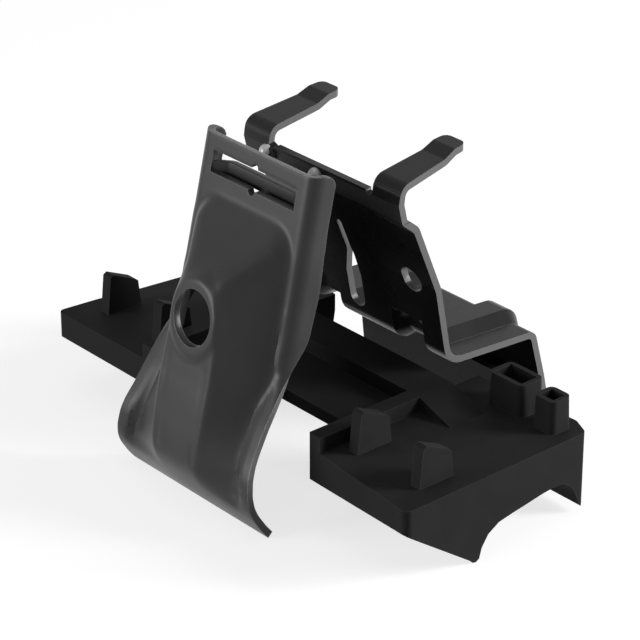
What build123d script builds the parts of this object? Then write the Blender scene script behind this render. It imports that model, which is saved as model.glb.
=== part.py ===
"""Roof rack fit kit for one foot: a moulded rubber rail pad and two pressed steel brackets.

Millimetres, Z up, X along the roof rail, -Y is the outer side of the vehicle.
The middle of the bracket pair is X = 0 and all three pieces stand on the plane Z = 0.
"""
import os

from build123d import *

os.makedirs("parts", exist_ok=True)

# Sheet steel of both brackets
sheet = 2.5

# Rail pad
block_top = 30.5  # top plane of the two end blocks
rim_height = 5.5  # raised wall above the blocks
gap_half = 39.8  # half width of the open middle between the blocks
rim_width = 6.0
pad_end = 92.3  # right end plane
strip_front = -29.0
strip_step = -5.4  # front face of the raised rear of the strip
strip_back = 10.0
strip_under = 26.0
ramp_length = 15.0
tab_faces = (54.65, 84.3)  # outer faces of the tabs
tab_thick = 4.4
tab_height = 15.0
tab_y = (-40.9, -25.9)
sockets = ((63.7, 22.0, 16.5, 11.4), (82.0, 20.8, 10.0, 9.4))  # middle X, Y and outer size
socket_wall = 2.0
socket_height = 12.0
corner = 2.5  # radius of the upright outer corners
front_inner = -48.8  # front edge of the right block at the gap
rear_inner = 27.8  # rear edge of both blocks at the gap

# Section of the blocks across the rail, (Y, Z), from the front top edge round the saddle.
saddle = [
    (-60.0, block_top),
    (-60.0, 23.0),
    (-54.4, 22.3),
    (-25.4, 1.6),
    (-24.0, 0.3),
    (-22.6, 0.0),
    (-21.2, 0.8),
    (-20.1, 4.6),
    (-17.3, 8.6),
    (-12.5, 11.3),
    (-6.0, 12.4),
    (0.0, 13.2),
    (6.5, 14.2),
    (12.0, 14.7),
    (16.2, 14.5),
    (19.1, 13.4),
    (21.2, 11.2),
    (22.9, 8.2),
    (25.2, 3.0),
    (26.4, 2.2),
    (28.0, 2.6),
    (28.6, 4.4),
    (32.0, 24.0),
    (32.0, block_top),
]

# Plan of the right block and of the left block, (X, Y).
right_plan = [
    (gap_half, front_inner),
    (gap_half + 5.6, front_inner - 0.9),
    (pad_end - 6.5, front_inner - 4.4),
    (pad_end, front_inner - 5.4),
    (pad_end, rear_inner - 1.2),
    (pad_end - 7.6, rear_inner + 2.2),
    (gap_half, rear_inner),
]
left_plan = [
    (-gap_half, front_inner - 2.8),
    (-pad_end - 2.6, front_inner - 3.8),
    (-pad_end - 0.8, -35.9),
    (2.3 - pad_end, -19.6),
    (4.5 - pad_end, -2.8),
    (7.9 - pad_end, rear_inner - 2.8),
    (12.7 - pad_end, rear_inner + 1.6),
    (-gap_half - 8, rear_inner + 5.2),
    (-gap_half, rear_inner + 5.7),
]

with BuildPart() as rail_pad:
    with BuildSketch(Plane.YZ.offset(-pad_end - 8)) as section:
        with BuildLine():
            Polyline(*saddle, close=True)
        make_face()
    extrude(amount=2 * pad_end + 16)
    with BuildSketch() as plan:
        with BuildLine():
            Polyline(*right_plan, close=True)
        make_face()
        with BuildLine():
            Polyline(*left_plan, close=True)
        make_face()
        outer = plan.vertices().filter_by(lambda v: abs(v.X) > 60)
        fillet(outer, radius=corner)
    extrude(amount=2 * block_top, mode=Mode.INTERSECT)

    # Thin strip that joins the blocks, with its raised rear running out in a ramp each side.
    with BuildSketch(Plane.XZ.offset(-strip_back)):
        with BuildLine():
            Polyline(
                (-gap_half - 1, strip_under),
                (gap_half + 1, strip_under),
                (gap_half + 1, block_top),
                (-gap_half - 1, block_top),
                close=True,
            )
        make_face()
    extrude(amount=strip_back - strip_front)
    with BuildSketch(Plane.XZ.offset(-strip_back)):
        with BuildLine():
            Polyline(
                (-gap_half - rim_width - ramp_length, block_top - 1),
                (gap_half + rim_width + ramp_length, block_top - 1),
                (gap_half + rim_width + ramp_length, block_top + 0.1),
                (gap_half + rim_width, block_top + rim_height),
                (-gap_half - rim_width, block_top + rim_height),
                (-gap_half - rim_width - ramp_length, block_top + 0.1),
                close=True,
            )
        make_face()
    extrude(amount=strip_back - strip_step)

    # Raised wall along the inner edge of each block.
    with BuildSketch(Plane.XY.offset(block_top - 1)):
        with BuildLine():
            Polyline(
                (gap_half, front_inner),
                (gap_half + rim_width, front_inner - 1.0),
                (gap_half + rim_width, strip_step + 1),
                (gap_half, strip_step + 1),
                close=True,
            )
        make_face()
        with BuildLine():
            Polyline(
                (-gap_half, front_inner - 2.8),
                (-gap_half - rim_width, front_inner - 2.9),
                (-gap_half - rim_width, strip_step + 1),
                (-gap_half, strip_step + 1),
                close=True,
            )
        make_face()
    extrude(amount=rim_height + 1)

    # Four upright tabs behind the front edge, higher at the front.
    for right_face in tab_faces:
        for side in (1, -1):
            start = right_face - tab_thick if side > 0 else -right_face
            with BuildSketch(Plane.YZ.offset(start)):
                with BuildLine():
                    Polyline(
                        (tab_y[0], block_top - 1),
                        (tab_y[0] + 1.6, block_top + tab_height - 0.8),
                        (tab_y[0] + 3.0, block_top + tab_height),
                        (tab_y[1] - 2.4, block_top + tab_height - 4.4),
                        (tab_y[1] - 1.2, block_top + tab_height - 5.4),
                        (tab_y[1], block_top - 1),
                        close=True,
                    )
                make_face()
            extrude(amount=tab_thick)

    # Open square sockets near the rear edge of each block.
    for x_mid, y_mid, x_size, y_size in sockets:
        for side in (1, -1):
            for z, shrink in ((block_top - 1, 0.0), (block_top + socket_height, 0.7)):
                with BuildSketch(Plane.XY.offset(z)):
                    with Locations((side * x_mid, y_mid)):
                        RectangleRounded(x_size - shrink, y_size - shrink, 2.2)
            loft()
            with BuildSketch(Plane.XY.offset(block_top)):
                with Locations((side * x_mid, y_mid)):
                    Rectangle(x_size - 2 * socket_wall, y_size - 2 * socket_wall)
            extrude(amount=socket_height + 1, mode=Mode.SUBTRACT)

# Outer bracket
plate_top = 118.6
plate_lean = 0.224  # run back in Y for each mm of height
plate_top_y = -36.8
form_top = 99.5
boss_z = 67.9
boss_front = -66.2
boss_ring = 25.0
boss_hole = 18.0
slot_half = 21.3
slot_drop = 5.2  # from the top edge down to the slot
slot_height = 7.4
notch_radius = 1.6
bridge_height = 4.8
bridge_set_back = 4.6
bridge_drop = 2.9  # bridge middle below the slot's middle
flange_slope = [(-34.0, 0.1), (-30.6, -0.7), (-28.9, -2.0), (-28.3, -4.0), (-27.0, -6.6)]


def plate_y(z):
    """Front face of the leaning plate at height z."""
    return plate_top_y - plate_lean * (plate_top - z)


# Levels down the pressing: height, half width, rear edge, bend radius, side face, centre face,
# half width of the centre face, half width of the foot of its slopes.
levels = [
    (plate_top + 10, 29.0, -25.1, 5.0, plate_y(plate_top + 10), plate_y(plate_top + 10), 18.0, 22.0),
    (form_top, 29.2, -31.8, 5.0, plate_y(form_top), plate_y(form_top), 18.0, 22.0),
    (96.0, 29.3, -32.3, 5.0, plate_y(96.0), plate_y(96.0) - 3.4, 16.4, 23.4),
    (81.0, 29.6, -35.0, 5.0, plate_y(81.0), -64.6, 7.0, 24.2),
    (74.0, 29.7, -36.4, 5.0, plate_y(74.0), -65.4, 11.8, 24.5),
    (62.0, 30.0, -40.4, 5.0, plate_y(62.0), -65.5, 12.2, 24.8),
    (57.0, 30.3, -44.6, 4.4, plate_y(57.0), -65.8, 12.4, 25.4),
    (52.0, 30.8, -48.4, 3.2, plate_y(52.0) - 0.8, -66.1, 12.5, 26.2),
    (47.5, 31.4, -46.0, 2.0, -56.4, -66.6, 12.4, 26.8),
    (38.5, 32.0, -46.0, 1.6, -61.4, -68.4, 12.2, 27.4),
    (26.5, 33.6, -46.0, 1.6, -69.0, -71.4, 11.8, 28.0),
    (16.4, 35.0, -46.0, 1.6, -71.9, -72.4, 11.0, 28.0),
    (8.5, 36.0, -46.0, 1.6, -70.3, -70.5, 10.0, 26.0),
    (3.0, 36.3, -46.0, 1.6, -66.2, -66.3, 10.0, 25.0),
    (-2.0, 36.4, -46.0, 1.6, -62.0, -62.1, 10.0, 25.0),
]
slot_middle = plate_top - slot_drop - slot_height / 2
open_below = 53.0  # under this height the side edges carry no flange


def face_at(z, column):
    """Front face from the levels at height z, for the side (4) or centre (5) column."""
    for upper, lower in zip(levels, levels[1:]):
        if z >= lower[0] or lower is levels[-1]:
            share = (upper[0] - z) / (upper[0] - lower[0])
            return upper[column] + share * (lower[column] - upper[column])


def inner_face(z, column):
    """Back of the sheet at height z, one thickness behind the front face."""
    samples = [sheet * k / 12 for k in range(-12, 13)]
    return max(face_at(z + d, column) + (sheet**2 - d**2) ** 0.5 for d in samples)


def outline(level, inset):
    """Horizontal outline of the pressing, solid for inset 0, else the space behind the sheet."""
    z, half, edge, r, side_y, mid_y, ridge, foot = level
    if inset == 0:
        right = [
            (ridge, mid_y - 0.02),
            (foot, side_y - 0.01),
            (half - r, side_y),
            (half - 0.29 * r, side_y + 0.29 * r),
            (half, side_y + r),
            (half, edge),
        ]
    else:
        s = inner_face(z, 4)
        m = inner_face(z, 5)
        closed = z > open_below
        w = half - inset if closed else half + 1.5
        q = max(r - inset, 0.4)
        rise = q if closed else 0.2
        right = [
            (ridge - 0.41 * inset, m - 0.02),
            (foot - 0.41 * inset, s - 0.01),
            (half - inset - q, s),
            (half - inset - 0.29 * q, s + 0.29 * rise),
            (w, s + rise),
            (w, 10.0),
        ]
    return right + [(-x, y) for x, y in reversed(right)]


with BuildPart() as hollow:
    for level in levels:
        with BuildSketch(Plane.XY.offset(level[0])):
            with BuildLine():
                Polyline(*outline(level, sheet), close=True)
            make_face()
    loft(ruled=True)

with BuildPart() as outer_bracket:
    for level in levels:
        with BuildSketch(Plane.XY.offset(level[0])):
            with BuildLine():
                Polyline(*outline(level, 0), close=True)
            make_face()
    loft(ruled=True)
    # Collar of the hole, standing out of the pressed form.
    with BuildSketch(Plane.XZ.offset(-boss_front)):
        with Locations((0, boss_z)):
            Circle(boss_ring / 2)
    extrude(amount=-14)
    add(hollow.part, mode=Mode.SUBTRACT)
    with BuildSketch(Plane.XZ.offset(90)):
        with Locations((0, boss_z)):
            Circle(boss_hole / 2)
    extrude(amount=-60, mode=Mode.SUBTRACT)
    # Slot near the top edge with a half-round notch above and below.
    with BuildSketch(Plane.XZ.offset(60)):
        with Locations((0, slot_middle)):
            RectangleRounded(2 * slot_half, slot_height, 0.8)
        with Locations((0, slot_middle + slot_height / 2), (0, slot_middle - slot_height / 2)):
            Circle(notch_radius)
    extrude(amount=-40, mode=Mode.SUBTRACT)
    # Lanced bridge: the strip left in the slot, pushed back from the plate.
    bridge_mid = slot_middle - bridge_drop
    bridge_y = plate_y(bridge_mid)
    with BuildSketch(Plane.XY.offset(bridge_mid - bridge_height / 2)):
        with BuildLine():
            Polyline(
                (-slot_half - 1.0, bridge_y + 0.3),
                (-slot_half + 5.0, bridge_y + bridge_set_back),
                (slot_half - 5.0, bridge_y + bridge_set_back),
                (slot_half + 1.0, bridge_y + 0.3),
                (slot_half + 1.0, bridge_y + sheet),
                (slot_half - 4.4, bridge_y + bridge_set_back + sheet),
                (-slot_half + 4.4, bridge_y + bridge_set_back + sheet),
                (-slot_half - 1.0, bridge_y + sheet),
                close=True,
            )
        make_face()
    extrude(amount=bridge_height)
    # Top edges of the flanges fall away to the rear.
    with BuildSketch(Plane.YZ.offset(-40)):
        with BuildLine():
            fall = [(y, plate_top + drop) for y, drop in flange_slope]
            Polyline(*fall, (-20, fall[-1][1]), (-20, plate_top + 20), (-34, plate_top + 20), close=True)
        make_face()
    extrude(amount=80, mode=Mode.SUBTRACT)
    # Trim to the top edge and to the floor.
    split(bisect_by=Plane.XY.offset(plate_top), keep=Keep.BOTTOM)
    split(bisect_by=Plane.XY, keep=Keep.TOP)

# Inner bracket
inner_half = 39.5
prong_inner = 26.3
prong_tip_half = 36.2
prong_tip_y = 22.6
between_top = 106.0  # edge of the plate between the prongs
hole_offset = 27.9
hole_z = 69.5
hole_size = 9.5
dimples = ((-27.0, 102.6), (-1.7, 101.0))
drop_x = -3.7
drop_top = 81.0
drop_low = 50.0
drop_round = 3.75
slit_half = 1.25
tip_round = 2.6
bead_x = 21.5
bead_foot = 9.0
bead_crest = 4.5
bead_height = 3.7
bead_end_z = 53.0
shelf_front = 38.8  # underside at the front bend
shelf_rear = 36.0  # underside at the rear bend
hook_depth = 23.0  # height of the turned-up tip of the rear hook

# Outer skin from the prong tip over the bend, down the plate, under the shelf and down the
# rear flange to its hook: Y, Z, bend radius.
skin_corners = [
    (prong_tip_y, 117.6, 0),
    (17.0, 117.0, 3),
    (12.0, 114.8, 3),
    (-9.2, 111.6, 5.0),
    (-10.2, 105.0, 0),
    (-8.4, 97.8, 3),
    (-3.2, 93.6, 3),
    (7.2, 68.4, 12),
    (12.9, shelf_front, 8.5),
    (53.2, shelf_rear, 2.0),
    (58.1, 18.4, 0),
    (61.6, sheet, 6.4),
    (49.0, sheet, 4.6),
    (46.8, hook_depth, 0),
]


def rounded(corners, steps=5):
    """Corner list turned into points with each corner replaced by an arc."""
    points = []
    for i, (y, z, r) in enumerate(corners):
        here = Vector(y, z)
        if r == 0:
            points.append(here)
            continue
        back = (Vector(*corners[i - 1][:2]) - here).normalized()
        ahead = (Vector(*corners[i + 1][:2]) - here).normalized()
        bisector = (back + ahead).normalized()
        half_cos = back.dot(bisector)
        half_sin = (1 - half_cos**2) ** 0.5
        centre = here + bisector * (r / half_sin)
        reach = r * half_cos / half_sin
        first = here + back * reach - centre
        last = here + ahead * reach - centre
        for k in range(steps + 1):
            mix = first * (1 - k / steps) + last * (k / steps)
            points.append(centre + mix.normalized() * r)
    return points


def shifted(points, distances):
    """Points moved square to the run, each by its own distance, to the left of the run."""
    result = []
    for i, p in enumerate(points):
        before = (p - points[i - 1]).normalized() if i else None
        after = (points[i + 1] - p).normalized() if i + 1 < len(points) else None
        before = before or after
        after = after or before
        n1 = Vector(-before.Y, before.X)
        n2 = Vector(-after.Y, after.X)
        middle = n1 + n2
        result.append(p + middle * (2 / middle.dot(middle) * distances[i]))
    return result


def pairs(points):
    """Plain number pairs of a list of vectors."""
    return [(p.X, p.Y) for p in points]


skin = rounded(skin_corners)
back_skin = shifted(skin, [sheet] * len(skin))
bead_run = [p for p in skin if p.X > 8.0 and shelf_rear - 3 < p.Y < bead_end_z]
bead_start = skin[skin.index(bead_run[0]) - 1]
drop = (bead_start.Y - bead_end_z) / (bead_start.Y - bead_run[0].Y)
bead_run = [bead_start + (bead_run[0] - bead_start) * drop] + bead_run
bead_run.insert(1, bead_run[0] + (bead_run[1] - bead_run[0]) * 0.25)
flange_way = (Vector(58.1, 18.4) - bead_run[-1]).normalized()
bead_run += [bead_run[-1] + flange_way * 4.0, bead_run[-1] + flange_way * 9.0]
bead_share = [0.0] + [1.0] * (len(bead_run) - 2) + [0.0]


def bead_solids(foot, crest, low, high):
    """Trapezoid ridges that follow the sheet, between two distances from the outer skin."""
    base = sheet if low == 0 else 0.0
    under = shifted(bead_run, [low] * len(bead_run))
    solids = []
    for middle in (bead_x, -bead_x):
        wires = []
        for x, top in ((-foot, 0.0), (-crest, 1.0), (crest, 1.0), (foot, 0.0)):
            lift = [base + 0.05 + s * top * (high - base) for s in bead_share]
            ring = pairs(under) + pairs(shifted(bead_run, lift))[::-1]
            wires.append(Wire.make_polygon([Vector(middle + x, y, z) for y, z in ring], close=True))
        for pair in zip(wires, wires[1:]):
            solids.append(Solid.make_loft(pair, ruled=True))
    return solids


with BuildPart() as inner_bracket:
    with BuildSketch(Plane.YZ.offset(-inner_half)):
        with BuildLine():
            Polyline(*(pairs(skin) + pairs(back_skin)[::-1]), close=True)
        make_face()
    extrude(amount=2 * inner_half)
    # Open space between the prongs, with a round relief at each root.
    with BuildSketch(Plane.XZ.offset(20)):
        with Locations((0, between_top + 10)):
            Rectangle(2 * prong_inner, 20)
        with Locations((prong_inner - 1.6, between_top), (1.6 - prong_inner, between_top)):
            Circle(1.6)
    extrude(amount=-60, mode=Mode.SUBTRACT)
    # Prongs taper towards their tips on the outer side, and the tips are rounded.
    for side in (1, -1):
        trim = [
            (side * (inner_half + 3), -9.0, 0),
            (side * inner_half, -9.0, 0),
            (side * prong_tip_half, prong_tip_y, tip_round),
            (side * prong_inner, prong_tip_y, tip_round),
            (side * prong_inner, 10.0, 0),
            (side * (prong_inner - 3), 10.0, 0),
            (side * (prong_inner - 3), prong_tip_y + 5, 0),
            (side * (inner_half + 3), prong_tip_y + 5, 0),
        ]
        with BuildSketch(Plane.XY.offset(98)):
            with BuildLine():
                Polyline(*pairs(rounded(trim)), close=True)
            make_face()
        extrude(amount=30, mode=Mode.SUBTRACT)
    add(bead_solids(bead_foot, bead_crest, 0.0, sheet + bead_height))
    add(bead_solids(bead_foot - 1.0, bead_crest - 1.0, -0.6, bead_height), mode=Mode.SUBTRACT)
    # Round holes and the drop-shaped hole on the middle line.
    with BuildSketch(Plane.XZ.offset(5)):
        with Locations((hole_offset, hole_z), (-hole_offset, hole_z)):
            Circle(hole_size / 2)
        with BuildLine():
            Polyline(
                (drop_x - slit_half, drop_top),
                (drop_x - slit_half, drop_top - 11.0),
                (drop_x - drop_round, drop_low + 10.0),
                (drop_x - drop_round, drop_low),
                (drop_x + drop_round, drop_low),
                (drop_x + drop_round, drop_low + 10.0),
                (drop_x + slit_half, drop_top - 11.0),
                (drop_x + slit_half, drop_top),
                close=True,
            )
        make_face()
        with Locations((drop_x, drop_top)):
            Circle(slit_half)
        with Locations((drop_x, drop_low)):
            Circle(drop_round)
    extrude(amount=-30, mode=Mode.SUBTRACT)
    # Pressed dimples at the top edge, domed in two steps.
    for x, dimple_z in dimples:
        for y, wide, narrow, rise in ((-7.5, 3.9, 3.3, 3.6), (-11.1, 3.3, 1.6, 1.5)):
            for size, reach in ((wide, 0.0), (narrow, rise)):
                with BuildSketch(Plane.XZ.offset(reach - y)):
                    with Locations((x, dimple_z)):
                        RegularPolygon(size, 8)
            loft(ruled=True)

# Set on the floor, with the middle of the kit at 0, 0.
pieces = {"rail_pad": rail_pad, "outer_bracket": outer_bracket, "inner_bracket": inner_bracket}
boxes = [built.part.bounding_box() for built in pieces.values()]
low = Vector(*[min(tuple(b.min)[k] for b in boxes) for k in range(3)])
high = Vector(*[max(tuple(b.max)[k] for b in boxes) for k in range(3)])
to_origin = Location((-(low.X + high.X) / 2, -(low.Y + high.Y) / 2, -low.Z))
for name, built in pieces.items():
    placed = built.part.moved(to_origin)
    placed.label = name
    export_step(placed, "parts/" + name + ".step")
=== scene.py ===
import math

import bmesh
import bpy
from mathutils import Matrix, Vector


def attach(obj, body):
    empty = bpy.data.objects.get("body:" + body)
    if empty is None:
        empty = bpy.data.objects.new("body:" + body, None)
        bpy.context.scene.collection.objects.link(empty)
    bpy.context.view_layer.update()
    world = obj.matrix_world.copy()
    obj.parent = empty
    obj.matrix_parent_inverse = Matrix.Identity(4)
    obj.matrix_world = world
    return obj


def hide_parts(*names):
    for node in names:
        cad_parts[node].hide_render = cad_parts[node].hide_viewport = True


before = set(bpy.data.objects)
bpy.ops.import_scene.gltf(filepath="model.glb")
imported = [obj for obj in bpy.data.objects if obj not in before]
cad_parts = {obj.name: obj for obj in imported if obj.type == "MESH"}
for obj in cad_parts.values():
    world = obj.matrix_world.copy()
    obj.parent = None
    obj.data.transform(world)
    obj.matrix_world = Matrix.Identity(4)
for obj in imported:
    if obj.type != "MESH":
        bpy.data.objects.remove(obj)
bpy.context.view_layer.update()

# Rail pad: one moulding in black rubber, with tabs, open sockets and a raised wall that
# locate the rack foot. It lies under the foot and takes the shape of the roof edge.
MM = 0.001
PAD_EDGE = 0.7  # radius of the moulding's edges in millimetres
PAD_TONES = ((0.0115, 0.0115, 0.0120), (0.0175, 0.0175, 0.0180))
# painted highlight: the tone along the moulding's edges
PAD_EDGE_HIGHLIGHT = (0.026, 0.026, 0.027)
PAD_ROUGH = (0.62, 0.78)
PAD_GLOSS = 0.05
PAD_MOTTLE = (60, 4)  # scale and detail of a noise field
PAD_GRAIN = (2600, 3)
PAD_RELIEF = (0.05 * MM, 0.5)  # depth and strength of the grain
CLOUD = (0.3, 0.7)  # the part of a noise field's range that is used
FACE_TURN, EDGE_TURN = 0.98, 0.82  # cosines between which a face passes into its edge
WELD_REACH = 0.001  # seams narrower than this are closed, in millimetres
LEVEL_TURN = 0.5  # faces that turn by less than these degrees are joined
BEND_TURN = 26  # edges that turn by less than these degrees are shaded smooth
FLAT_WEIGHT = 90  # how far the wide faces decide the shading at their edges


def surface(name):
    """A material with its shader and the object coordinates in metres."""
    mat = bpy.data.materials.new(name)
    mat.use_nodes = True
    tree = mat.node_tree
    shader = tree.nodes["Principled BSDF"]
    where = tree.nodes.new("ShaderNodeTexCoord").outputs["Object"]
    return mat, tree, shader, where


def grain(tree, where, scale, detail):
    """A noise field over the object."""
    noise = tree.nodes.new("ShaderNodeTexNoise")
    noise.inputs["Scale"].default_value = scale
    noise.inputs["Detail"].default_value = detail
    noise.inputs["Roughness"].default_value = 0.55
    tree.links.new(where, noise.inputs["Vector"])
    return noise.outputs["Fac"]


def spread(tree, value, given, wanted):
    """A value mapped from one range to another."""
    node = tree.nodes.new("ShaderNodeMapRange")
    for key, number in zip(("From Min", "From Max", "To Min", "To Max"), (*given, *wanted)):
        node.inputs[key].default_value = number
    tree.links.new(value, node.inputs["Value"])
    return node.outputs["Result"]


def blend(tree, factor, first, second):
    """Two colours mixed by a factor; either may be a socket."""
    node = tree.nodes.new("ShaderNodeMix")
    node.data_type = "RGBA"
    tree.links.new(factor, node.inputs["Factor"])
    for key, colour in ((6, first), (7, second)):
        if isinstance(colour, tuple):
            node.inputs[key].default_value = (*colour, 1)
        else:
            tree.links.new(colour, node.inputs[key])
    return node.outputs[2]


def relief(tree, shader, height, distance, strength):
    """Bump on the shader from a height field."""
    node = tree.nodes.new("ShaderNodeBump")
    node.inputs["Distance"].default_value = distance
    node.inputs["Strength"].default_value = strength
    tree.links.new(height, node.inputs["Height"])
    tree.links.new(node.outputs["Normal"], shader.inputs["Normal"])


def edges(tree, radius):
    """1 along the outer edges of a piece and 0 on its faces."""
    bevel = tree.nodes.new("ShaderNodeBevel")
    bevel.samples = 6
    bevel.inputs["Radius"].default_value = radius
    plain = tree.nodes.new("ShaderNodeNewGeometry")
    dot = tree.nodes.new("ShaderNodeVectorMath")
    dot.operation = "DOT_PRODUCT"
    tree.links.new(bevel.outputs["Normal"], dot.inputs[0])
    tree.links.new(plain.outputs["Normal"], dot.inputs[1])
    return spread(tree, dot.outputs["Value"], (FACE_TURN, EDGE_TURN), (0, 1))


def soften(piece, width, segments=2, angle=28):
    """Rounds the edges of a piece that turn by more than the angle, in degrees."""
    mod = piece.modifiers.new("edges", "BEVEL")
    mod.width = width
    mod.segments = segments
    mod.limit_method = "ANGLE"
    mod.angle_limit = math.radians(angle)
    mod.harden_normals = False


def made(name, verts, faces):
    """A mesh object from plain lists."""
    mesh = bpy.data.meshes.new(name)
    mesh.from_pydata([tuple(v) for v in verts], [], faces)
    mesh.update()
    piece = bpy.data.objects.new(name, mesh)
    bpy.context.scene.collection.objects.link(piece)
    return piece


def settled(piece, crease=34):
    """The piece with its modifiers applied, smooth but for edges sharper than the crease."""
    graph = bpy.context.evaluated_depsgraph_get()
    mesh = bpy.data.meshes.new_from_object(piece.evaluated_get(graph))
    piece.modifiers.clear()
    piece.data = mesh
    mesh.shade_smooth()
    mesh.set_sharp_from_angle(angle=math.radians(crease))


def welded(node, name, width):
    """A copy of a CAD piece with its faces joined, so that bends are smooth and edges round."""
    work = bmesh.new()
    work.from_mesh(node.data)
    bmesh.ops.remove_doubles(work, verts=work.verts, dist=WELD_REACH * MM)
    level = math.radians(LEVEL_TURN)
    bmesh.ops.dissolve_limit(work, angle_limit=level, verts=work.verts, edges=work.edges)
    work.verts.index_update()
    verts = [v.co.copy() for v in work.verts]
    faces = [[v.index for v in face.verts] for face in work.faces]
    work.free()
    piece = made(name, verts, faces)
    piece.matrix_world = node.matrix_world.copy()
    soften(piece, width)
    settled(piece, crease=BEND_TURN)
    weigh = piece.modifiers.new("flats", "WEIGHTED_NORMAL")
    weigh.keep_sharp = True
    weigh.weight = FLAT_WEIGHT
    return piece


def stand_in(piece, mat, node):
    """The piece shows in place of a CAD node, with one material."""
    piece.data.materials.append(mat)
    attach(piece, "root")
    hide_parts(node)


def pad_rubber():
    """Matte rubber with a fine grain, paler along its edges as a painted highlight."""
    mat, tree, shader, where = surface("pad_rubber")
    mottle = grain(tree, where, *PAD_MOTTLE)
    tone = blend(tree, spread(tree, mottle, CLOUD, (0, 1)), *PAD_TONES)
    # painted highlight: the edges are made paler where light would catch them
    tone_with_edge_highlight = blend(tree, edges(tree, PAD_EDGE * MM), tone, PAD_EDGE_HIGHLIGHT)
    tree.links.new(tone_with_edge_highlight, shader.inputs["Base Color"])
    tree.links.new(spread(tree, mottle, CLOUD, PAD_ROUGH), shader.inputs["Roughness"])
    shader.inputs["Specular IOR Level"].default_value = PAD_GLOSS
    relief(tree, shader, grain(tree, where, *PAD_GRAIN), *PAD_RELIEF)
    return mat


pad = welded(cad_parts["rail_pad"], "rail_pad_moulding", PAD_EDGE * MM)
stand_in(pad, pad_rubber(), "rail_pad")


# Outer bracket: one pressing in 2.5 mm steel with a satin black coating. The form, the rim of
# the bolt hole, the side flanges and the hook at the foot are drawn from one flat blank.
SHEET = 2.5
OUTER_EDGE = 0.4
KIT_MIDDLE = Vector((1.155, 4.930, 0.0))  # the drawing's zero, in millimetres in the frame
PLATE_TOP = 118.6
PLATE_FRONT = -36.8  # front face at the top edge
PLATE_LEAN = 0.224

# Hole with its raised rim, and the slot with a half-round notch above and below. HOLE_CUT and
# SLOT_CUT say from where to where along Y each is cut.
HOLE_MIDDLE = 67.9
HOLE_HALF = (9.3, 9.6)
HOLE_CUT = (-90.0, -48.0)
RIM_HALF = (11.8, 13.6)
RIM_FRONT = -65.4
RIM_LEAN = 0.217
RIM_FLANK = 26.0  # how far the rim would fall back at twice its half size
SLOT_HALF = 21.3
SLOT_LOW, SLOT_HIGH = 106.0, 113.4
SLOT_CUT = (-60.0, -33.0)
NOTCH = 1.6
HOLE_STEPS, NOTCH_STEPS = 72, 12

# Pressed form: outline, the round of its top corners, and how steeply it rises inside its
# top edge, its sides and those corners.
FORM_TOP = 100.0
FORM_HALF = 24.4
FORM_ROUND = 12.0
TOP_RISE, SIDE_RISE, CORNER_RISE = 0.87, 1.02, 1.9
TOP_RISE_ENDS = 60.0  # below this the form is as deep as the ridge says
SIDE_RISE_ENDS = 82.0
CORNERS_END = 74.0
NO_LIMIT = 40.0  # deeper than any form
CREASE, CORNER_CREASE = 3.0, 2.0  # how wide a crease between two slopes is rounded

# Two grooves in the face of the ridge: place across it and depth.
GROOVES = ((-9.8, 1.5), (9.4, 0.6))
GROOVE_HALF = 0.9
GROOVE_LOW, GROOVE_HIGH = 20.0, 53.0
POCKET_EDGE = 1.4  # width of the climb from a pocket to the side border

# Side border of the pressing: height, half width, face, bend angle, flange width.
BEND_RADIUS = 5.0
BORDER = (
    (120.0, 29.0, -36.5, 90.0, 4.6),
    (99.5, 29.2, -41.1, 90.0, 4.3),
    (81.0, 29.6, -45.2, 90.0, 5.2),
    (74.0, 29.7, -46.8, 90.0, 5.2),
    (62.0, 30.0, -49.5, 90.0, 4.0),
    (57.0, 30.3, -50.7, 80.0, 1.6),
    (52.5, 30.6, -52.0, 48.0, 0.6),
    (49.0, 31.0, -53.9, 22.0, 0.5),
    (43.0, 31.4, -58.0, 9.0, 0.5),
    (38.5, 31.7, -61.2, 6.0, 0.5),
    (34.0, 32.1, -64.1, 5.0, 0.5),
    (30.0, 32.6, -66.7, 5.0, 0.5),
    (26.5, 33.4, -68.9, 5.0, 0.5),
    (22.0, 34.2, -70.7, 5.0, 0.5),
    (16.4, 35.0, -71.6, 5.0, 0.5),
    (12.0, 35.6, -71.2, 5.0, 0.5),
    (8.5, 36.0, -69.9, 5.0, 0.5),
    (3.0, 36.3, -66.4, 5.0, 0.5),
    (-2.0, 36.4, -62.4, 5.0, 0.5),
)
# Ridge of the form: height, face, half width of the face, half width of the slopes' foot,
# depth of the pocket at the foot.
RIDGE = (
    (120.0, -53.6, 8.0, 24.0, 0.0),
    (82.0, -61.8, 8.0, 24.4, 0.0),
    (76.0, -63.0, 10.2, 24.7, 0.0),
    (68.0, -64.6, 11.6, 24.8, 0.0),
    (62.0, -65.8, 12.2, 25.0, 0.0),
    (54.0, -67.6, 12.4, 25.4, 0.0),
    (50.0, -68.6, 12.5, 25.6, 0.3),
    (47.0, -69.3, 12.5, 25.0, 0.7),
    (43.0, -70.4, 12.4, 24.4, 1.1),
    (38.5, -71.5, 12.2, 24.4, 1.4),
    (34.0, -72.5, 12.0, 24.8, 1.8),
    (30.0, -73.4, 11.7, 25.3, 2.1),
    (26.5, -74.1, 11.4, 26.0, 2.5),
    (22.0, -74.7, 11.1, 27.0, 3.0),
    (18.0, -74.6, 10.8, 28.0, 3.1),
    (14.5, -73.5, 10.6, 28.6, 2.4),
    (10.5, -71.4, 10.4, 28.8, 0.2),
    (6.0, -68.7, 9.6, 28.0, 0.0),
    (3.0, -66.5, 9.0, 26.0, 0.0),
    (-2.0, -62.4, 9.0, 24.0, 0.0),
)
SOFT_RINGS = ((0.7, 6), (1.3, 8))  # reach and number of the places that a crease is averaged over


def between(rows, z, column):
    """One column of a table at height z."""
    for upper, lower in zip(rows, rows[1:]):
        if z >= lower[0] or lower is rows[-1]:
            share = (upper[0] - z) / (upper[0] - lower[0])
            return upper[column] + share * (lower[column] - upper[column])


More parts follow.
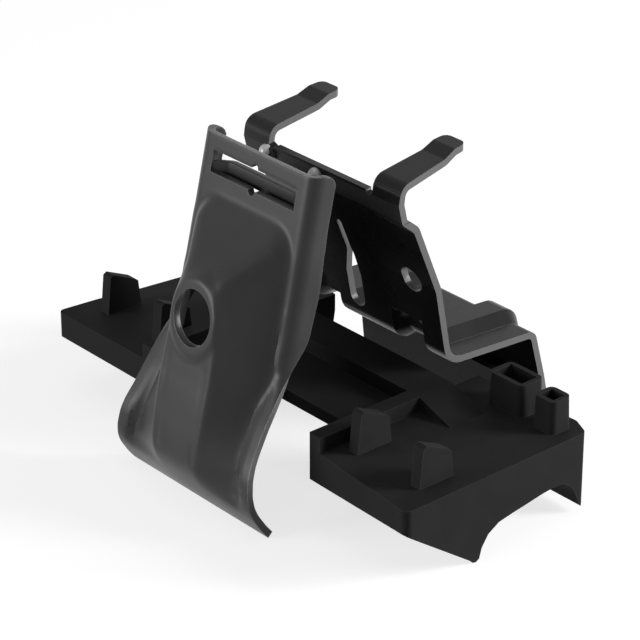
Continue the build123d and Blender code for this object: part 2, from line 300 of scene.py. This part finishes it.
def eased(rows, z, column, reach=2.4):
    """The same column averaged over nearby heights, which rounds its corners."""
    return sum(between(rows, z + reach * k / 3, column) * (4 - abs(k)) for k in range(-3, 4)) / 16


def lesser(a, b, reach):
    """The smaller of two numbers, with the corner between them rounded."""
    near = max(0.0, reach - abs(a - b)) / reach
    return min(a, b) - near * near * reach / 4


def form_inset(x, z):
    """Distance inside the form's outline, whose top corners are round."""
    across = max(0.0, x - (FORM_HALF - FORM_ROUND))
    up = max(0.0, z - (FORM_TOP - FORM_ROUND))
    return FORM_ROUND - math.hypot(across, up)


def pressed_face(x, z):
    """Front face of the pressing between its side bends, in millimetres along Y."""
    side = between(BORDER, z, 2)
    crest, ridge, foot, pocket = (between(RIDGE, z, column) for column in (1, 2, 3, 4))
    rise = side - crest
    if GROOVE_LOW < z < GROOVE_HIGH:
        for groove, depth in GROOVES:
            rise -= depth * max(0.0, 1.0 - abs(x - groove) / GROOVE_HALF)
    x = abs(x)
    slope = (foot - x) / (foot - ridge) * (side - crest + pocket) - pocket
    top = (FORM_TOP - z) * TOP_RISE if z > TOP_RISE_ENDS else NO_LIMIT
    if z > CORNERS_END:
        slope = (foot - x) * SIDE_RISE if z > SIDE_RISE_ENDS else slope
        corner = CORNER_RISE * form_inset(x, z)
        slope = lesser(lesser(lesser(slope, top, CREASE), corner, CORNER_CREASE), rise, CREASE)
    border = -pocket * max(0.0, 1.0 - (x - foot) / POCKET_EDGE) if x > foot else -pocket
    face = side - max(border, min(rise, slope, top))
    away = math.hypot(x / RIM_HALF[0], (z - HOLE_MIDDLE) / RIM_HALF[1])
    front = RIM_FRONT - RIM_LEAN * (HOLE_MIDDLE - z)
    return min(face, front + max(0.0, away - 1.0) * RIM_FLANK)


def soft_spots():
    """Places around a point, on rings, over which a crease is averaged."""
    spots = [(0.0, 0.0)]
    for reach, count in SOFT_RINGS:
        for k in range(count):
            turn = 2 * math.pi * (k + 0.5) / count
            spots.append((reach * math.cos(turn), reach * math.sin(turn)))
    return spots


SOFT_SPOTS = soft_spots()


def drawn_face(x, z):
    """The face with every crease rounded as the press leaves it."""
    return sum(pressed_face(x + dx, z + dz) for dx, dz in SOFT_SPOTS) / len(SOFT_SPOTS)


# Steps of the mesh: across the middle, the sides, the bend and the flange, and down the plate,
# the form and the foot.
MIDDLE_HALF = 16.0
MIDDLE_STEPS, SIDE_STEPS, BEND_STEPS, FLANGE_STEPS = 20, 9, 7, 3
PLATE_ROWS, PLATE_STEP = 25, 1.3
FORM_ROWS, FORM_STEP = 41, 0.9
FOOT_ROWS = 40


def section_at(z):
    """Right half of the pressing at height z, from the middle out to the flange's edge."""
    half = eased(BORDER, z, 1)
    turn = math.radians(eased(BORDER, z, 3))
    flange = eased(BORDER, z, 4)
    flat = half - BEND_RADIUS * math.sin(turn) - flange * math.cos(turn)
    across = [MIDDLE_HALF * k / MIDDLE_STEPS for k in range(MIDDLE_STEPS + 1)]
    across += [MIDDLE_HALF + (flat - MIDDLE_HALF) * k / SIDE_STEPS for k in range(1, SIDE_STEPS + 1)]
    points = [(x, drawn_face(x, z)) for x in across]
    edge = points[-1][1]
    for k in range(1, BEND_STEPS + 1):
        bend = turn * k / BEND_STEPS
        points.append((flat + BEND_RADIUS * math.sin(bend), edge + BEND_RADIUS * (1 - math.cos(bend))))
    last = points[-1]
    for k in range(1, FLANGE_STEPS + 1):
        out = flange * k / FLANGE_STEPS
        points.append((last[0] + out * math.cos(turn), last[1] + out * math.sin(turn)))
    return points


def in_frame(x, y, z):
    return (Vector((x, y, z)) + KIT_MIDDLE) * MM


def pressed_sheet():
    """The front skin of the pressing as a grid of faces."""
    heights = [PLATE_TOP - PLATE_STEP * k for k in range(PLATE_ROWS)]
    heights += [heights[-1] - FORM_STEP * k for k in range(1, FORM_ROWS + 1)]
    foot = heights[-1]
    heights += [foot * (1 - k / FOOT_ROWS) for k in range(1, FOOT_ROWS + 1)]
    verts = []
    for z in heights:
        right = section_at(z)
        verts += [in_frame(x, y, z) for x, y in [(-x, y) for x, y in reversed(right[1:])] + right]
    count = len(verts) // len(heights)
    corners = [i * count + j for i in range(len(heights) - 1) for j in range(count - 1)]
    return made("outer_pressing", verts, [(a, a + count, a + count + 1, a + 1) for a in corners])


def arc(middle, half, start, stop, steps):
    """Points of an arc or an ellipse's arc, angles in degrees."""
    return [
        (middle[0] + half[0] * math.cos(a), middle[1] + half[1] * math.sin(a))
        for a in (math.radians(start + (stop - start) * k / steps) for k in range(steps + 1))
    ]


def prism(start, stop):
    """Vertices and faces of a closed prism between two like outlines."""
    n = len(start)
    faces = [tuple(range(n - 1, -1, -1)), tuple(range(n, 2 * n))]
    faces += [(k, (k + 1) % n, n + (k + 1) % n, n + k) for k in range(n)]
    return start + stop, faces


def outward(piece):
    """Faces turned to point out of the solid."""
    work = bmesh.new()
    work.from_mesh(piece.data)
    bmesh.ops.recalc_face_normals(work, faces=work.faces)
    work.to_mesh(piece.data)
    work.free()


# The wedge that trims the flanges' top corners: places along Y and heights from the plate's top,
# then how far it goes back, up and to each side.
FALL = ((-34.0, 0.1), (-31.6, -0.35), (-29.9, -1.1), (-28.8, -2.3), (-28.2, -4.0), (-26.6, -6.8))
FALL_BACK, FALL_OVER, FALL_HALF = -20.0, 8.0, 40.0


def cut_outs():
    """What is cut out of the pressing: the hole, the slot and the wedge over the flanges."""
    hole = arc((0, HOLE_MIDDLE), HOLE_HALF, 0, 360, HOLE_STEPS)[:-1]
    slot = [(SLOT_HALF, SLOT_LOW), (SLOT_HALF, SLOT_HIGH)]
    slot += arc((0, SLOT_HIGH), (NOTCH, NOTCH), 0, 180, NOTCH_STEPS)
    slot += [(-SLOT_HALF, SLOT_HIGH), (-SLOT_HALF, SLOT_LOW)]
    slot += arc((0, SLOT_LOW), (NOTCH, NOTCH), 180, 360, NOTCH_STEPS)
    wedge = [*FALL, (FALL_BACK, FALL[-1][1]), (FALL_BACK, FALL_OVER), (FALL[0][0], FALL_OVER)]
    solids = [
        prism(*([in_frame(x, y, z) for x, z in outline] for y in reach))
        for outline, reach in ((hole, HOLE_CUT), (slot, SLOT_CUT))
    ]
    ends = (-FALL_HALF, FALL_HALF)
    solids.append(prism(*([in_frame(x, y, PLATE_TOP + dz) for y, dz in wedge] for x in ends)))
    verts = []
    faces = []
    for more_verts, more_faces in solids:
        faces += [tuple(v + len(verts) for v in face) for face in more_faces]
        verts += more_verts
    return made("outer_cutter", verts, faces)


# Coating: tones, darkest and lightest, how rough it is, and its gloss.
OUTER_COAT = ((0.027, 0.027, 0.028), (0.036, 0.036, 0.037), 0.36, 0.18)
OUTER_CUT = ((0.085, 0.085, 0.088), (0.120, 0.120, 0.122), 0.45, 0.18)
COAT_CLOUD = (35, 5)
COAT_GRAIN = (1500, 2)
COAT_RELIEF = (0.03 * MM, 0.35)
COAT_EDGE = 0.5  # width of the painted highlight along the edges, in millimetres
COAT_EDGE_HIGHLIGHT = 3.2  # how much paler the painted edge highlight is
ROUGH_LESS, ROUGH_MORE = 0.05, 0.06
CUT_FACING = (0.78, 0.92)  # how far along X a cut edge faces


def coated_steel(name, dark, light, rough, gloss, bare=None):
    """A satin coating with a painted highlight along its edges; with bare given, faces turned along X
    are cut edges in that tone.
    """
    mat, tree, shader, where = surface(name)
    cloud = grain(tree, where, *COAT_CLOUD)
    tone = blend(tree, spread(tree, cloud, CLOUD, (0, 1)), dark, light)
    # painted highlight: the edges are made paler where light would catch them
    tone_with_edge_highlight = blend(tree, edges(tree, COAT_EDGE * MM), tone, tuple(COAT_EDGE_HIGHLIGHT * c for c in light))
    if bare is not None:
        facing = tree.nodes.new("ShaderNodeNewGeometry")
        turned = tree.nodes.new("ShaderNodeSeparateXYZ")
        tree.links.new(facing.outputs["True Normal"], turned.inputs["Vector"])
        size = tree.nodes.new("ShaderNodeMath")
        size.operation = "ABSOLUTE"
        tree.links.new(turned.outputs["X"], size.inputs[0])
        tone_with_edge_highlight = blend(tree, spread(tree, size.outputs["Value"], CUT_FACING, (0, 1)), tone_with_edge_highlight, bare)
    tree.links.new(tone_with_edge_highlight, shader.inputs["Base Color"])
    roughness = spread(tree, cloud, CLOUD, (rough - ROUGH_LESS, rough + ROUGH_MORE))
    tree.links.new(roughness, shader.inputs["Roughness"])
    shader.inputs["Specular IOR Level"].default_value = gloss
    relief(tree, shader, grain(tree, where, *COAT_GRAIN), *COAT_RELIEF)
    return mat


outer_steel = coated_steel("outer_steel", *OUTER_COAT)
cut_steel = coated_steel("outer_steel_cut", *OUTER_CUT)
bracket = pressed_sheet()
for steel in (outer_steel, cut_steel):
    bracket.data.materials.append(steel)
cutter = cut_outs()
outward(cutter)
thick = bracket.modifiers.new("sheet", "SOLIDIFY")
thick.thickness = SHEET * MM
thick.offset = -1.0
thick.use_even_offset = True
thick.material_offset_rim = 1  # the rim is in the cut edge's steel
trim = bracket.modifiers.new("openings", "BOOLEAN")
trim.operation = "DIFFERENCE"
trim.solver = "EXACT"
trim.object = cutter
settled(bracket)
outward(bracket)
soften(bracket, OUTER_EDGE * MM, angle=40)
settled(bracket)
bpy.data.objects.remove(cutter)

# The strip left in the slot, pushed back from the plate as a bridge: places across it and how
# far back each lies from the plate's face at the height of the seat.
BRIDGE_LOW, BRIDGE_HIGH = 103.8, 109.5
BRIDGE_SEAT = 106.8
BRIDGE_EDGE = 0.5
BRIDGE_HALF_ROW = ((22.6, 0.2), (21.6, 0.6), (17.0, 4.2), (15.4, 4.6))


def slot_bridge():
    """The bridge as one strip of the sheet with a bend down to each end."""
    row = [(-x, back) for x, back in BRIDGE_HALF_ROW] + list(reversed(BRIDGE_HALF_ROW))
    face = PLATE_FRONT - PLATE_LEAN * (PLATE_TOP - BRIDGE_SEAT)
    verts = []
    for x, back in row:
        for z, dy in ((BRIDGE_LOW, 0.0), (BRIDGE_HIGH, 0.0), (BRIDGE_HIGH, SHEET), (BRIDGE_LOW, SHEET)):
            verts.append(in_frame(x, face + back + dy, z))
    faces = [(3, 2, 1, 0), tuple(len(verts) - 4 + k for k in range(4))]
    for k in range(len(row) - 1):
        for j in range(4):
            a, b = 4 * k + j, 4 * k + (j + 1) % 4
            faces.append((a, b, b + 4, a + 4))
    return made("outer_bridge", verts, faces)


bridge = slot_bridge()
outward(bridge)
soften(bridge, BRIDGE_EDGE * MM, segments=3, angle=12)
settled(bridge, crease=50)
bridge.data.materials.append(outer_steel)
for piece in (bracket, bridge):
    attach(piece, "root")
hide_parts("outer_bracket")

# Inner bracket: a second pressing of the same sheet, with two prongs, a shelf with two
# stiffening beads and a rear flange that ends in a hook.
INNER_COAT = ((0.012, 0.012, 0.013), (0.017, 0.017, 0.018), 0.27, 0.10)
INNER_BARE = (0.11, 0.11, 0.112)
INNER_EDGE = 0.5

inner_steel = coated_steel("inner_steel", *INNER_COAT, INNER_BARE)
inner = welded(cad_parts["inner_bracket"], "inner_pressing", INNER_EDGE * MM)
stand_in(inner, inner_steel, "inner_bracket")

# The two domes pressed into the inner bracket's top edge, in a pale coat that paints their highlight.
# They stand in the plate's front face; the list has their places across it and their heights.
DOMES = ((-26.9, 103.3), (-1.6, 102.9))
DOME_RADIUS = 2.6
DOME_MIDDLE = -10.6  # place along Y
# painted highlight: a pale, glossy tone for the domes
DOME_HIGHLIGHT_COAT = ((0.30, 0.30, 0.30), (0.44, 0.44, 0.44), 0.26, 0.8)

dome_highlight_steel = coated_steel("dome_highlight_steel", *DOME_HIGHLIGHT_COAT)
for number, (x, z) in enumerate(DOMES):
    bpy.ops.mesh.primitive_uv_sphere_add(segments=32, ring_count=16, radius=DOME_RADIUS * MM)
    dome = bpy.context.object
    dome.name = "inner_dome_" + str(number)
    dome.location = in_frame(x, DOME_MIDDLE, z)
    dome.data.shade_smooth()
    dome.data.materials.append(dome_highlight_steel)
    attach(dome, "root")

# Floor and light: a pale floor that the camera sees as white, and soft studio panels.
FLOOR_HALF = 4.0
FLOOR_UNDER = 0.2
FLOOR_TONE, FLOOR_GLOW = 0.35, 0.74
STUDIO_SEEN, STUDIO_DIM = 1.0, 0.22


def bright_rays(tree):
    """1 for the rays that see the white studio: straight, in gloss and through glass."""
    path = tree.nodes.new("ShaderNodeLightPath")
    total = path.outputs["Is Camera Ray"]
    for ray_kind in ("Is Glossy Ray", "Is Transmission Ray"):
        add = tree.nodes.new("ShaderNodeMath")
        add.operation = "ADD"
        add.use_clamp = True
        tree.links.new(total, add.inputs[0])
        tree.links.new(path.outputs[ray_kind], add.inputs[1])
        total = add.outputs["Value"]
    return total


def floor_white():
    """Pale and dull, so that it takes shadows, with a glow that only the bright rays see."""
    mat = bpy.data.materials.new("floor_white")
    mat.use_nodes = True
    tree = mat.node_tree
    tree.nodes.clear()
    out = tree.nodes.new("ShaderNodeOutputMaterial")
    pale = tree.nodes.new("ShaderNodeBsdfDiffuse")
    pale.inputs["Color"].default_value = (FLOOR_TONE, FLOOR_TONE, FLOOR_TONE, 1)
    glow = tree.nodes.new("ShaderNodeEmission")
    glow.inputs["Color"].default_value = (FLOOR_GLOW, FLOOR_GLOW, FLOOR_GLOW, 1)
    tree.links.new(bright_rays(tree), glow.inputs["Strength"])
    both = tree.nodes.new("ShaderNodeAddShader")
    tree.links.new(pale.outputs["BSDF"], both.inputs[0])
    tree.links.new(glow.outputs["Emission"], both.inputs[1])
    tree.links.new(both.outputs["Shader"], out.inputs["Surface"])
    return mat


bpy.ops.mesh.primitive_plane_add(size=2 * FLOOR_HALF, location=(0, 0, -FLOOR_UNDER * MM))
floor = bpy.context.object
floor.name = "floor"
floor.data.materials.append(floor_white())


def studio():
    """A white world for the bright rays and a dim one for all others."""
    world = bpy.data.worlds.new("studio")
    world.use_nodes = True
    sky = world.node_tree
    sky.nodes.clear()
    out = sky.nodes.new("ShaderNodeOutputWorld")
    pick = sky.nodes.new("ShaderNodeMixShader")
    sky.links.new(bright_rays(sky), pick.inputs["Fac"])
    for place, strength in ((1, STUDIO_DIM), (2, STUDIO_SEEN)):
        light = sky.nodes.new("ShaderNodeBackground")
        light.inputs["Color"].default_value = (1, 1, 1, 1)
        light.inputs["Strength"].default_value = strength
        sky.links.new(light.outputs["Background"], pick.inputs[place])
    sky.links.new(pick.outputs["Shader"], out.inputs["Surface"])
    return world


bpy.context.scene.world = studio()

LIT_POINT = Vector((0, 0, 0.05))


def way_out(azimuth, elevation):
    az = math.radians(azimuth)
    el = math.radians(elevation)
    return Vector((math.sin(az) * math.cos(el), -math.cos(az) * math.cos(el), math.sin(el)))


def panel(name, azimuth, elevation, distance, size, power):
    lamp = bpy.data.lights.new(name, "AREA")
    lamp.shape = "RECTANGLE"
    lamp.size = size[0]
    lamp.size_y = size[1]
    lamp.energy = power
    stand = bpy.data.objects.new(name, lamp)
    stand.location = LIT_POINT + distance * way_out(azimuth, elevation)
    stand.rotation_euler = (LIT_POINT - stand.location).to_track_quat("-Z", "Y").to_euler()
    bpy.context.scene.collection.objects.link(stand)


panel("key_left", -26, 10, 1.5, (0.8, 0.6), 17)
panel("top", 20, 80, 1.4, (0.9, 0.9), 1.5)
panel("right_rear", 134, 16, 1.5, (0.4, 0.9), 38)

CAMERA_AZIMUTH, CAMERA_ELEVATION = 49.1, 26.8
CAMERA_DISTANCE = 1.0
CAMERA_TARGET = Vector((-0.026345, 0.018930, 0.0305))
CAMERA_NEAR = 0.01
LENS, SENSOR = 157.5, 36.0

lens = bpy.data.cameras.new("camera")
lens.sensor_width = SENSOR
lens.lens = LENS
lens.clip_start = CAMERA_NEAR
camera = bpy.data.objects.new("camera", lens)
camera_way = way_out(CAMERA_AZIMUTH, CAMERA_ELEVATION)
camera.location = CAMERA_TARGET + CAMERA_DISTANCE * camera_way
camera.rotation_euler = camera_way.to_track_quat("Z", "Y").to_euler()
bpy.context.scene.collection.objects.link(camera)
bpy.context.scene.camera = camera
bpy.context.scene.view_settings.view_transform = "Standard"
